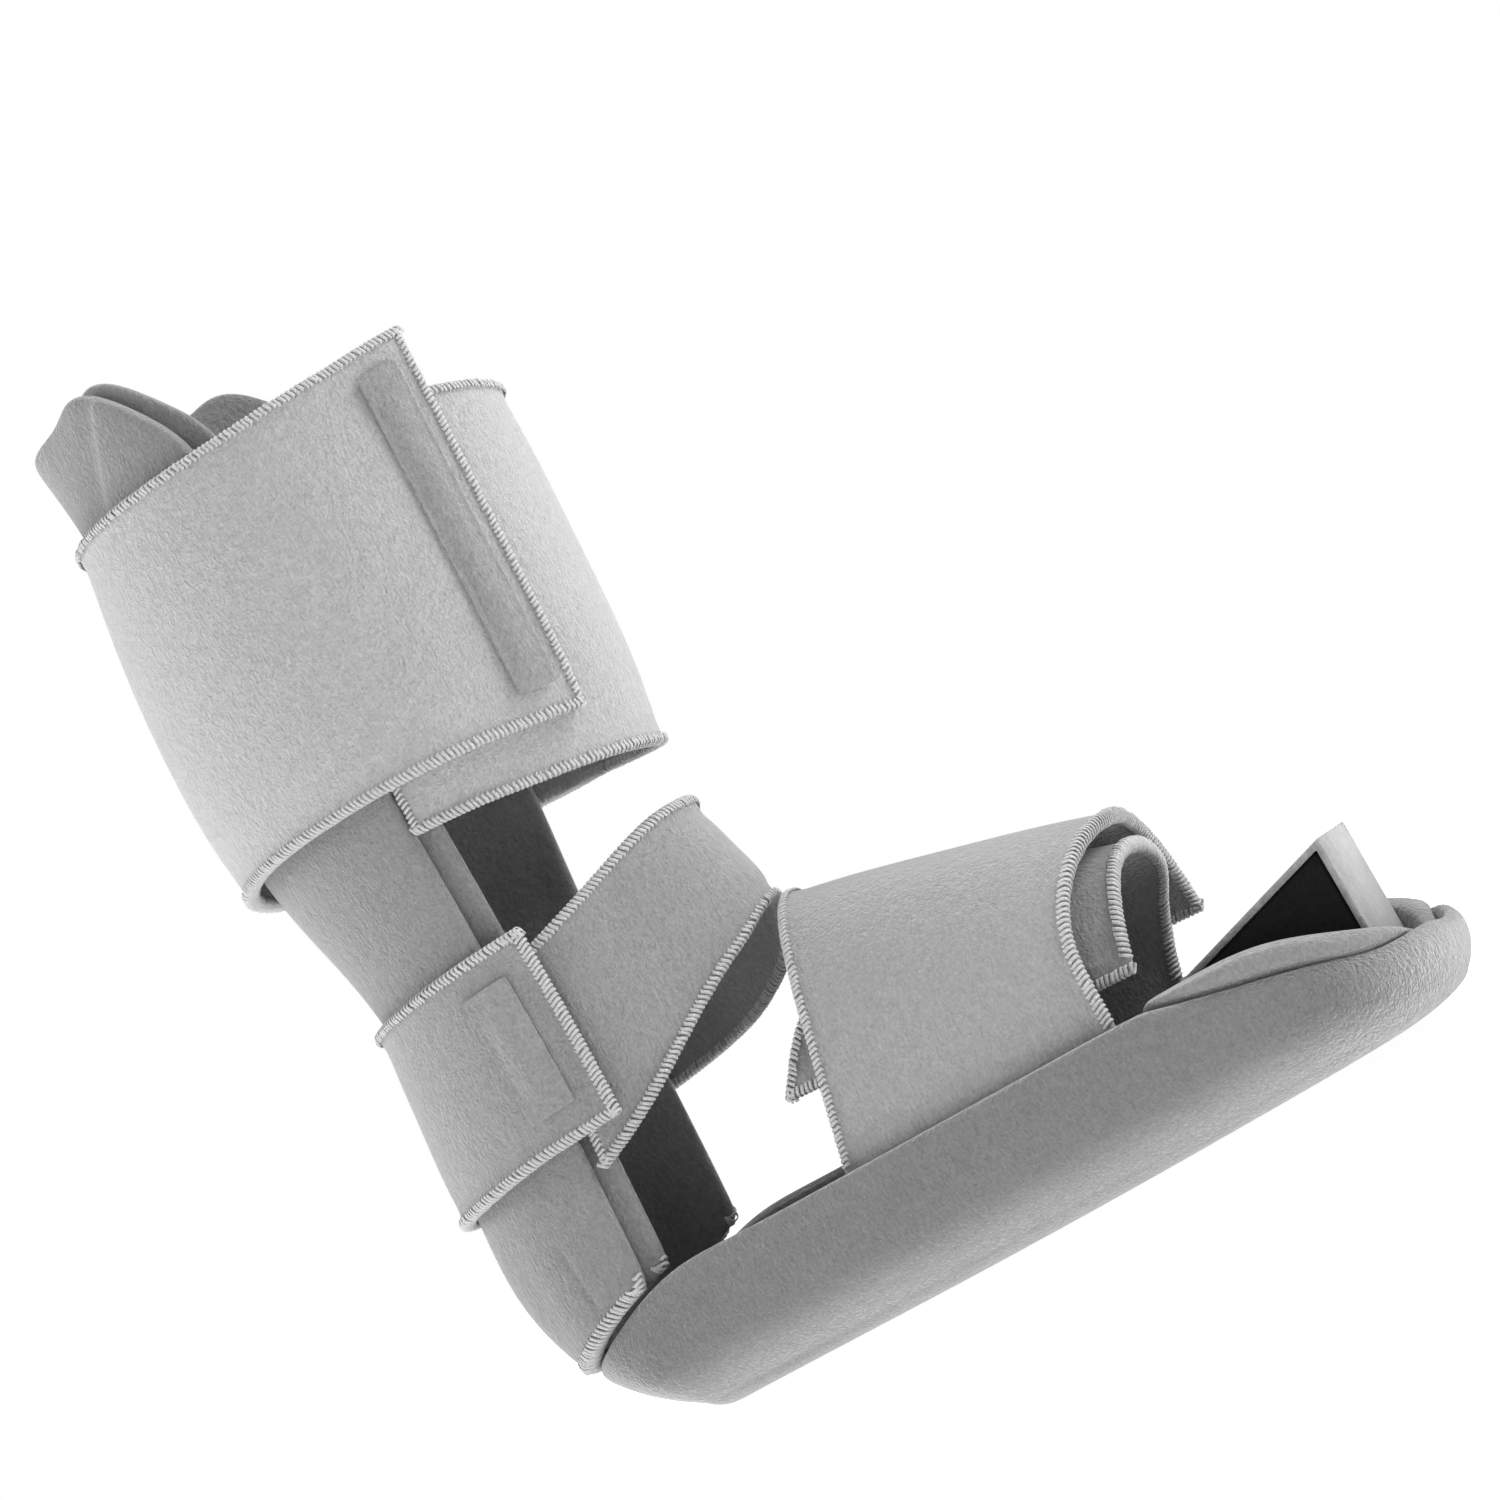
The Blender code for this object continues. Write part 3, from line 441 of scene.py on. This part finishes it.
def sheet_form(node, band=0.0036, groove=0.0006, squeeze=0.0003, crown=0.0026, narrow=CUT_EDGE):
    """The node's sheet of foam cloth with its edge pressed thinner and a groove where the edge stitches bite. Faces
    narrower than `narrow` are its cut edge. Gives the form and its rim: the points in the middle of the cut edge in
    a closed ring, and at each the directions through the cloth and into it."""
    form = body_skin(node)
    wide = {f for f in form.faces if min(e.calc_length() for e in f.edges) > narrow}
    edges = [e for e in form.edges if len(set(e.link_faces) & wide) == 1]
    neighbours = {}
    for edge in edges:
        for vertex in edge.verts:
            neighbours.setdefault(vertex, []).append(edge.other_vert(vertex))
    rings = []
    left = set(neighbours)
    while left:
        ring = [min(left, key=lambda v: v.index)]
        left.discard(ring[0])
        while True:
            onward = [v for v in neighbours[ring[-1]] if v in left]
            if not onward:
                break
            ring.append(onward[0])
            left.discard(onward[0])
        rings.append(ring)
    rings.sort(key=len, reverse=True)
    first = np.array([v.co[:] for v in rings[0]])
    second = np.array([v.co[:] for v in rings[1]])
    pairs = second[np.argmin(((first[:, None] - second[None]) ** 2).sum(2), axis=1)]
    through = first - pairs
    through /= np.linalg.norm(through, axis=1)[:, None]
    inwards = []
    for vertex in rings[0]:
        faces = [f for f in vertex.link_faces if f in wide]
        inwards.append(np.mean([f.calc_center_median()[:] for f in faces], axis=0) - np.array(vertex.co))
    rim = ((first + pairs) / 2, through, np.array(inwards))
    for ring in rings[:2]:
        for vertex in ring:
            near = rings[1] if ring is rings[0] else rings[0]
            other = min(near, key=lambda v: (v.co - vertex.co).length_squared)
            vertex.tag = True
            vertex.co += (other.co - vertex.co).normalized() * squeeze
    for depth, width in ((groove, band), (0.0, crown)) if groove else ():
        regions = [f for f in form.faces if f in wide]
        bmesh.ops.inset_region(form, faces=regions, thickness=width, use_boundary=True, use_even_offset=True)
        if depth:
            lowered = {v for f in regions for v in f.verts if any(g not in wide for g in v.link_faces)}
            for vertex in lowered:
                normal = sum((f.normal for f in vertex.link_faces if f in wide), Vector())
                vertex.co -= normal.normalized() * depth
    return form, rim


def held_at(rim, width):
    """Which points are held by a sheet's sewn rim, from 1 at the rim to 0 at this width."""
    tree = KDTree(len(rim[0]) * 4)
    ahead = np.roll(rim[0], -1, 0)
    for k in range(4):
        for point in rim[0] + (ahead - rim[0]) * k / 4:
            tree.insert(point, 0)
    tree.balance()
    return lambda at: np.array([max(1.3 - 1.3 * tree.find(point)[2] / width, 0.0) for point in at])


shell_form, shell_rim = sheet_form("leg_shell", groove=0.0, squeeze=0.0, narrow=0.0045)
SHELL_CLOTH = foam_cloth("shell_foam_cloth", (0.195, 0.195, 0.198))
calf_shell = soft_piece("calf_shell", shell_form, 3, SHELL_CLOTH, node="leg_shell", most=0.0012,
                        holds=held_at(shell_rim, 0.007))
press_line(calf_shell, (-0.044, 0.311), (-0.023, 0.349), 0.0016, 0.0022, behind=0.0075)
press_line(calf_shell, (-0.047, 0.052), (-0.025, 0.0625), 0.0009, 0.0014)
press_line(calf_shell, (-0.025, 0.0625), (-0.0235, 0.046), 0.0005, 0.0012)
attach(calf_shell, "root")
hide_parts("leg_shell")

# The thinner lining inside the shell, of the bed pad's cloth. It is laminated to the shell, and shows ahead of its
# front edges and as a second layer at its top.
lining_form, lining_rim = sheet_form("leg_liner", groove=0.0, squeeze=0.0)
calf_lining = soft_piece("calf_lining", lining_form, 2, SOFT_CLOTH, node="leg_liner", most=0.0008,
                         holds=held_at(lining_rim, 0.007))
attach(calf_lining, "root")
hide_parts("leg_liner")

# The calf wrap: a wide strip of foam cloth, about one and a third turns round the calf and closed on itself. Its cut
# edge is overlocked all round in a lighter thread.
GREY_CLOTH = foam_cloth("grey_foam_cloth", (0.335, 0.335, 0.338))
wrap_form, wrap_rim = sheet_form("calf_wrap", groove=0.0009)
calf_wrap = soft_piece("calf_strap", wrap_form, 2, GREY_CLOTH, node="calf_wrap", most=0.0012,
                       holds=held_at(wrap_rim, 0.008))
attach(calf_wrap, "root")
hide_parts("calf_wrap")


def smooth_sides(rim, corner=50, step=0.0008, shortest=0.006):
    """The rim's sides between its corners, as dense smooth lines, with the directions through and into the cloth."""
    middle, through, inwards = rim
    count = len(middle)
    ahead = np.roll(middle, -1, 0) - middle
    ahead /= np.linalg.norm(ahead, axis=1)[:, None]
    turn = np.degrees(np.arccos(np.clip((ahead * np.roll(ahead, 1, 0)).sum(1), -1, 1)))
    corners = [i for i in range(count) if turn[i] > corner]
    sides = []
    for k, start in enumerate(corners):
        end = corners[(k + 1) % len(corners)]
        if end <= start:
            end += count
        at = [i % count for i in range(start, end + 1)]
        if len(at) < 3:
            continue
        points = middle[at]
        length = np.concatenate([[0], np.cumsum(np.linalg.norm(np.diff(points, axis=0), axis=1))])
        if length[-1] < shortest:
            continue
        fine = np.linspace(0, length[-1], max(int(length[-1] / step), 4))
        slopes = np.gradient(points, length, axis=0)
        row = np.clip(np.searchsorted(length, fine, side="right") - 1, 0, len(length) - 2)
        span = (length[row + 1] - length[row])[:, None]
        t = ((fine - length[row]) / span[:, 0])[:, None]
        line = (points[row] * (1 + 2 * t) * (1 - t) ** 2 + points[row + 1] * t * t * (3 - 2 * t)
                + slopes[row] * span * t * (1 - t) ** 2 - slopes[row + 1] * span * t * t * (1 - t))
        up = np.stack([np.interp(fine, length, through[at][:, axis]) for axis in range(3)], 1)
        inner = np.stack([np.interp(fine, length, inwards[at][:, axis]) for axis in range(3)], 1)
        sides.append((line, up, inner))
    return sides


def thread_material(name, color):
    """Bulked overlock thread: a light grey yarn with a fine uneven fuzz."""
    made = bpy.data.materials.new(name)
    made.use_nodes = True
    nodes, links = made.node_tree.nodes, made.node_tree.links
    shader = nodes["Principled BSDF"]
    at = nodes.new("ShaderNodeTexCoord").outputs["Object"]
    noise = nodes.new("ShaderNodeTexNoise")
    noise.inputs["Scale"].default_value = 2600
    noise.inputs["Detail"].default_value = 2
    links.new(at, noise.inputs["Vector"])
    shades = nodes.new("ShaderNodeValToRGB")
    shades.color_ramp.elements[0].position = 0.3
    shades.color_ramp.elements[0].color = (*[c * 0.7 for c in color], 1)
    shades.color_ramp.elements[1].position = 0.7
    shades.color_ramp.elements[1].color = (*[min(c * 1.2, 1) for c in color], 1)
    links.new(noise.outputs["Fac"], shades.inputs["Fac"])
    links.new(shades.outputs["Color"], shader.inputs["Base Color"])
    bump = nodes.new("ShaderNodeBump")
    bump.inputs["Distance"].default_value = 0.0002
    links.new(noise.outputs["Fac"], bump.inputs["Height"])
    links.new(bump.outputs["Normal"], shader.inputs["Normal"])
    shader.inputs["Roughness"].default_value = 0.8
    shader.inputs["Sheen Weight"].default_value = 0.3
    return made


THREAD = thread_material("overlock_thread", (0.42, 0.42, 0.42))


def overlock_tree():
    """Node tree that lays one stitch after another along the cloth's edge."""
    tree = bpy.data.node_groups.new("overlock_stitches", "GeometryNodeTree")
    tree.interface.new_socket("Edge", in_out="INPUT", socket_type="NodeSocketGeometry")
    for label, kind, value in (("Stitch", "NodeSocketObject", None), ("Spacing", "NodeSocketFloat", 0.0015),
                               ("Slant", "NodeSocketFloat", 0.38), ("Unevenness", "NodeSocketFloat", 0.08),
                               ("Thread", "NodeSocketMaterial", None), ("Seed", "NodeSocketInt", 7)):
        socket = tree.interface.new_socket(label, in_out="INPUT", socket_type=kind)
        if value is not None:
            socket.default_value = value
    tree.interface.new_socket("Stitches", in_out="OUTPUT", socket_type="NodeSocketGeometry")
    nodes, links = tree.nodes, tree.links
    given = nodes.new("NodeGroupInput")
    result = nodes.new("NodeGroupOutput")
    curve = nodes.new("GeometryNodeMeshToCurve")
    spaced = nodes.new("GeometryNodeResampleCurve")
    spaced.mode = "LENGTH"
    links.new(given.outputs["Edge"], curve.inputs["Mesh"])
    links.new(curve.outputs["Curve"], spaced.inputs["Curve"])
    links.new(given.outputs["Spacing"], spaced.inputs["Length"])
    through = nodes.new("GeometryNodeInputNamedAttribute")
    through.data_type = "FLOAT_VECTOR"
    through.inputs["Name"].default_value = "through"
    along = nodes.new("GeometryNodeInputTangent")
    to_edge = nodes.new("FunctionNodeAlignRotationToVector")
    to_edge.axis = "X"
    links.new(along.outputs["Tangent"], to_edge.inputs["Vector"])
    to_cloth = nodes.new("FunctionNodeAlignRotationToVector")
    to_cloth.axis = "Z"
    to_cloth.pivot_axis = "X"
    links.new(to_edge.outputs["Rotation"], to_cloth.inputs["Rotation"])
    links.new(through.outputs["Attribute"], to_cloth.inputs["Vector"])
    wobble = nodes.new("FunctionNodeRandomValue")
    wobble.data_type = "FLOAT_VECTOR"
    wobble.inputs["Min"].default_value = (-1, -1, -1)
    wobble.inputs["Max"].default_value = (1, 1, 1)
    links.new(given.outputs["Seed"], wobble.inputs["Seed"])
    sway = nodes.new("ShaderNodeVectorMath")
    sway.operation = "SCALE"
    links.new(wobble.outputs["Value"], sway.inputs[0])
    links.new(given.outputs["Unevenness"], sway.inputs["Scale"])
    tilt = nodes.new("ShaderNodeCombineXYZ")
    links.new(given.outputs["Slant"], tilt.inputs["Z"])
    turn = nodes.new("ShaderNodeVectorMath")
    turn.operation = "ADD"
    links.new(sway.outputs[0], turn.inputs[0])
    links.new(tilt.outputs[0], turn.inputs[1])
    as_rotation = nodes.new("FunctionNodeEulerToRotation")
    links.new(turn.outputs[0], as_rotation.inputs[0])
    turned = nodes.new("FunctionNodeRotateRotation")
    turned.rotation_space = "LOCAL"
    links.new(to_cloth.outputs["Rotation"], turned.inputs["Rotation"])
    links.new(as_rotation.outputs[0], turned.inputs["Rotate By"])
    stitch = nodes.new("GeometryNodeObjectInfo")
    links.new(given.outputs["Stitch"], stitch.inputs["Object"])
    laid = nodes.new("GeometryNodeInstanceOnPoints")
    links.new(spaced.outputs["Curve"], laid.inputs["Points"])
    links.new(stitch.outputs["Geometry"], laid.inputs["Instance"])
    links.new(turned.outputs["Rotation"], laid.inputs["Rotation"])
    real = nodes.new("GeometryNodeRealizeInstances")
    links.new(laid.outputs["Instances"], real.inputs["Geometry"])
    colored = nodes.new("GeometryNodeSetMaterial")
    links.new(real.outputs["Geometry"], colored.inputs["Geometry"])
    links.new(given.outputs["Thread"], colored.inputs["Material"])
    links.new(colored.outputs["Geometry"], result.inputs["Stitches"])
    return tree


OVERLOCK = overlock_tree()


def overlock_stitch(half_thickness, band):
    """One loop of thread round the cloth's edge: +X along the edge, +Y out of the cloth, +Z through it."""
    line = [(-0.0004, -band, 0.96), (0.0002, -band * 0.90, 1.06), (0.0, -band * 0.45, 1.10), (0.0, -0.0007, 0.96),
            (0.0, -0.00005, 0.40), (0.0, -0.00005, -0.40), (0.0, -0.0007, -0.96), (0.0, -band * 0.45, -1.10),
            (-0.0002, -band * 0.90, -1.06), (0.0004, -band, -0.96)]
    points = [Vector((x, y, z * half_thickness)) for x, y, z in line]
    form = bmesh.new()
    rings = []
    sides = 5
    for i, point in enumerate(points):
        ahead = (points[min(i + 1, len(points) - 1)] - points[max(i - 1, 0)]).normalized()
        wide = Vector((1, 0, 0)) - ahead * ahead.x
        wide.normalize()
        high = ahead.cross(wide)
        end = 0.45 if i in (0, len(points) - 1) else 1.0
        rings.append([form.verts.new(point + end * (wide * math.cos(a) * 0.00058 + high * math.sin(a) * 0.00026))
                      for a in [2 * math.pi * k / sides for k in range(sides)]])
    for lower, upper in zip(rings, rings[1:]):
        for k in range(sides):
            form.faces.new((lower[k], lower[(k + 1) % sides], upper[(k + 1) % sides], upper[k]))
    form.faces.new(rings[0][::-1])
    form.faces.new(rings[-1])
    bmesh.ops.recalc_face_normals(form, faces=form.faces)
    mesh = bpy.data.meshes.new("stitch")
    form.to_mesh(mesh)
    form.free()
    mesh.shade_smooth()
    stitch = bpy.data.objects.new("stitch", mesh)
    bpy.context.scene.collection.objects.link(stitch)
    return stitch


def overlock(name, sides, thickness, keep=None, band=0.0031, spacing=0.0015, bevel=0.0011):
    """The overlock stitches round a sheet's rim, where keep(point) says so."""
    form = bmesh.new()
    up_layer = form.verts.layers.float_vector.new("through")
    for line, up, inner in sides:
        previous = None
        along = np.gradient(line, axis=0)
        outward = np.cross(up, along)
        outward /= np.linalg.norm(outward, axis=1)[:, None]
        if (outward * inner).sum() > 0:
            outward = -outward[::-1]
            line = line[::-1]
            up = up[::-1]
        for point, normal, out in zip(line, up, outward):
            edge_point = point + out * bevel
            if keep is not None and not keep(edge_point):
                previous = None
                continue
            vertex = form.verts.new(edge_point)
            vertex[up_layer] = normal
            if previous is not None:
                form.edges.new((previous, vertex))
            previous = vertex
    mesh = bpy.data.meshes.new(name)
    form.to_mesh(mesh)
    form.free()
    piece = bpy.data.objects.new(name, mesh)
    bpy.context.scene.collection.objects.link(piece)
    stitch = overlock_stitch(thickness / 2 - 0.0002, band)
    laying = piece.modifiers.new("Overlock", "NODES")
    laying.node_group = OVERLOCK
    values = {"Stitch": stitch, "Spacing": spacing, "Thread": THREAD}
    for item in OVERLOCK.interface.items_tree:
        if item.in_out == "INPUT" and item.name in values:
            laying[item.identifier] = values[item.name]
    made = bpy.data.meshes.new_from_object(piece.evaluated_get(bpy.context.evaluated_depsgraph_get()))
    piece.modifiers.clear()
    piece.data = made
    bpy.data.meshes.remove(mesh)
    made.name = name
    made.shade_smooth()
    bpy.data.objects.remove(stitch)
    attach(piece, "root")
    print(name, len(made.polygons), "faces")
    return piece


overlock("calf_strap_overlock", smooth_sides(wrap_rim), thickness=0.005)

# The lower hems of the shell and its lining, which stand round the heel just above the bed. They are overlocked as
# the wrap's edge is, the lining's only where it shows ahead of the shell.
HEM_LOWEST, HEM_HIGHEST = 0.022, 0.050
HEM_ABOVE = 0.003
HEM_BEVEL = 0.0011


def hem_line(node, thickness, turns, reach=0.2):
    """The lower edge of a sheet that stands round the heel, felt for from outside between two angles."""
    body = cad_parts[node].data
    tree = BVHTree.FromPolygons([v.co for v in body.vertices], [p.vertices for p in body.polygons])
    line, up = [], []
    for angle in np.radians(np.arange(turns[0], turns[1], 0.5)):
        inward = Vector((-math.cos(angle), -math.sin(angle), 0))
        for height in np.arange(HEM_LOWEST, HEM_HIGHEST, 0.0003):
            hit = tree.ray_cast(Vector((0, 0, height)) - inward * reach, inward, reach)[0]
            if hit:
                break
        if not hit:
            continue
        hit, normal, _, _ = tree.ray_cast(Vector((0, 0, height + HEM_ABOVE)) - inward * reach, inward, reach)
        level = Vector((normal.x, normal.y, 0)).normalized()
        line.append(Vector((hit.x, hit.y, height + HEM_BEVEL)) - level * thickness / 2)
        up.append(level)
    line, up = np.array(line), np.array(up)
    for _ in range(6):
        line[1:-1] = (line[:-2] + 2 * line[1:-1] + line[2:]) / 4
        up[1:-1] = (up[:-2] + 2 * up[1:-1] + up[2:]) / 4
    return line, up, np.tile((0.0, 0.0, 1.0), (len(line), 1))


overlock("shell_hem_overlock", [hem_line("leg_shell", 0.0065, (93, 267))], thickness=0.0065, band=0.0040)
overlock("lining_hem_overlock", [hem_line("leg_liner", 0.0045, turns) for turns in ((84, 96), (264, 276))],
         thickness=0.0045)

# The calf wrap's fastener strip, of a coarser cloth. It is sewn flat all round, beside the wrap's outer end, and
# stands up a little inside its seam.
STRIP_CLOTH = foam_cloth("fastener_cloth", (0.225, 0.225, 0.228), mottle=0.35, loop_size=0.0008)
PATCH_EDGE = 0.0015
PATCH_BORDER = 0.0013
PATCH_CROWN = 0.0011
PATCH_DRAWN_DOWN = 0.0003


def sewn_patch(name, node):
    """A patch whose border is drawn down by its stitches, and which stands up inside them."""
    form = body_skin(node)
    outer = [f for f in form.faces if min(e.calc_length() for e in f.edges) > PATCH_EDGE]
    inset = bmesh.ops.inset_region(form, faces=outer, thickness=PATCH_BORDER, use_boundary=True,
                                   use_even_offset=True)
    middle = sum((v.co for v in form.verts), Vector()) / len(form.verts)
    border = {v for f in inset["faces"] for v in f.verts}
    form.normal_update()
    for vertex in {v for f in outer for v in f.verts} - border:
        if vertex.normal.dot(vertex.co - middle) > 0 or vertex.normal.y < -0.3:
            vertex.co += vertex.normal * PATCH_CROWN
    for vertex in {v for f in outer for v in f.verts} & border:
        if vertex.normal.y < -0.3:
            vertex.co -= vertex.normal * PATCH_DRAWN_DOWN
    return soft_piece(name, form, 3, STRIP_CLOTH)


calf_fastener = sewn_patch("calf_fastener", "calf_hook_patch")
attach(calf_fastener, "root")
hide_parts("calf_hook_patch")

# The ankle strap: a narrower padded strip round the back of the ankle and over the instep, closed on itself and
# overlocked as the calf wrap is. Its fastener patch is sewn on near its outer end.
ANKLE_CLOTH = foam_cloth("ankle_foam_cloth", (0.24, 0.24, 0.243))
ankle_form, ankle_rim = sheet_form("ankle_strap", groove=0.0009)
ankle_strap = soft_piece("instep_strap", ankle_form, 2, ANKLE_CLOTH, node="ankle_strap", most=0.0008,
                         holds=held_at(ankle_rim, 0.008))
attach(ankle_strap, "root")
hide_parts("ankle_strap")
overlock("instep_strap_overlock", smooth_sides(ankle_rim), thickness=0.0045)
ankle_fastener = sewn_patch("instep_fastener", "ankle_hook_patch")
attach(ankle_fastener, "root")
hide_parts("ankle_hook_patch")

# The two flaps over the forefoot, one lapped over the other. Each is sewn into a wall of the bed, and overlocked on
# its free edges.
FLAP_CLOTH = foam_cloth("flap_foam_cloth", (0.275, 0.275, 0.278))
FLAP_SEAM_HEIGHT = 0.045
for node, name, slot, cloth in (("forefoot_flap_outer", "upper_flap", "foam_cloth", FLAP_CLOTH),
                                ("forefoot_flap_inner", "lower_flap", "liner_cloth", SOFT_CLOTH)):
    flap_form, flap_rim = sheet_form(node)
    flap = soft_piece(name, flap_form, 2, cloth, node=node, most=0.0012, holds=held_at(flap_rim, 0.008))
    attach(flap, "root")
    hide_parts(node)
    overlock(name + "_overlock", smooth_sides(flap_rim), thickness=0.0045, keep=lambda p: p[2] > FLAP_SEAM_HEIGHT)

# The foam wedge under the toes, which holds them bent upwards. It is cut from a block of black closed cell foam, and
# its cut sides are bare.
BLACK_FOAM = foam_cloth("black_foam", (0.005, 0.005, 0.005), speckle=1.2, mottle=0.3, loop_size=0.0006,
                        nap_depth=0.0002, sheen=0.0)
wedge = soft_piece("foam_wedge", body_skin("toe_wedge"), 0, BLACK_FOAM)
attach(wedge, "root")
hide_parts("toe_wedge")

# The wedge's felt face: a strip of light grey felt, glued over its front and its incline, where the toes lie. Its
# cut edges are left raw.
LIGHT_FELT = foam_cloth("light_felt", (0.235, 0.235, 0.232), speckle=0.5, mottle=0.5, loop_size=0.0012,
                        nap_depth=0.0004)
felt_face = soft_piece("felt_face", body_skin("toe_wedge_cover"), 0, LIGHT_FELT)
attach(felt_face, "root")
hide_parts("toe_wedge_cover")
